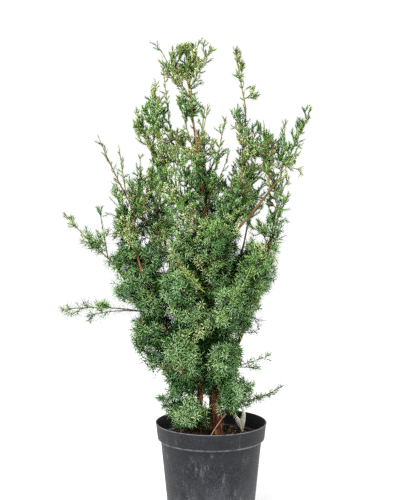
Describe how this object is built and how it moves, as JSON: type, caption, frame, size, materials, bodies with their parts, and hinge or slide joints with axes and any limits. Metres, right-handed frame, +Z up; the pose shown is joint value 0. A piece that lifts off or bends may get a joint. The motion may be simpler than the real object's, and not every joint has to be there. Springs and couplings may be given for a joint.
{
  "type": "potted columnar juniper",
  "caption": "Young upright juniper with several slender stems and loose tufts of needles, growing in a round nursery pot filled with soil.",
  "frame": {"origin": "centre of the flat underside of the pot", "axes": "+Z up along the pot's axis, +X to the right and +Y away as seen from the front"},
  "size_m": [0.5079, 0.3079, 0.99],
  "materials": {
    "pot": "matt, scuffed",
    "soil": "rough, damp",
    "bark": "fibrous, peeling",
    "foliage": "waxy needles",
    "label": "semi-matt"
  },
  "bodies": {
    "root": {"back_left_bough": "bark", "back_left_low_tuft": "foliage", "back_left_tip_tuft": "foliage", "back_lower_tuft": "foliage", "back_right_bough": "bark", "back_right_low_tuft": "foliage", "back_right_tip_tuft": "foliage", "back_stem": "bark", "back_tip_tuft": "foliage", "centre_high_tuft": "foliage", "centre_lower_tuft": "foliage", "centre_middle_tuft": "foliage", "centre_right_tuft": "foliage", "centre_shoots": "foliage", "centre_upper_tuft": "foliage", "front_high_tuft": "foliage", "front_lower_tuft": "foliage", "front_middle_tuft": "foliage", "front_stem": "bark", "front_upper_tuft": "foliage", "label": "label", "leader_left_tuft": "foliage", "leader_right_tuft": "foliage", "left_arm_shoot": "foliage", "left_arm_tuft": "foliage", "left_foot_tuft": "foliage", "left_inner_tuft": "foliage", "left_leader": "bark", "left_leader_side_tuft": "foliage", "left_leader_tuft": "foliage", "left_long_shoots": "foliage", "left_low_bough": "bark", "left_low_shoot": "foliage", "left_lower_tuft": "foliage", "left_middle_tuft": "foliage", "left_outer_tuft": "foliage", "left_stem": "bark", "left_upper_tuft": "foliage", "low_front_tuft": "foliage", "low_right_bough": "bark", "low_right_shoot": "foliage", "low_right_tuft": "foliage", "main_stem": "bark", "pot": "pot", "right_bough": "bark", "right_bough_shoots": "foliage", "right_front_tuft": "foliage", "right_leader": "bark", "right_leader_low_tuft": "foliage", "right_leader_tip": "foliage", "right_leader_tuft": "foliage", "right_lower_tuft": "foliage", "right_mid_tuft": "foliage", "right_middle_tuft": "foliage", "right_outer_tuft": "foliage", "right_stem": "bark", "right_tip_tuft": "foliage", "slender_shoot": "foliage", "soil": "soil", "top_tuft": "foliage"}
  },
  "joints": []
}
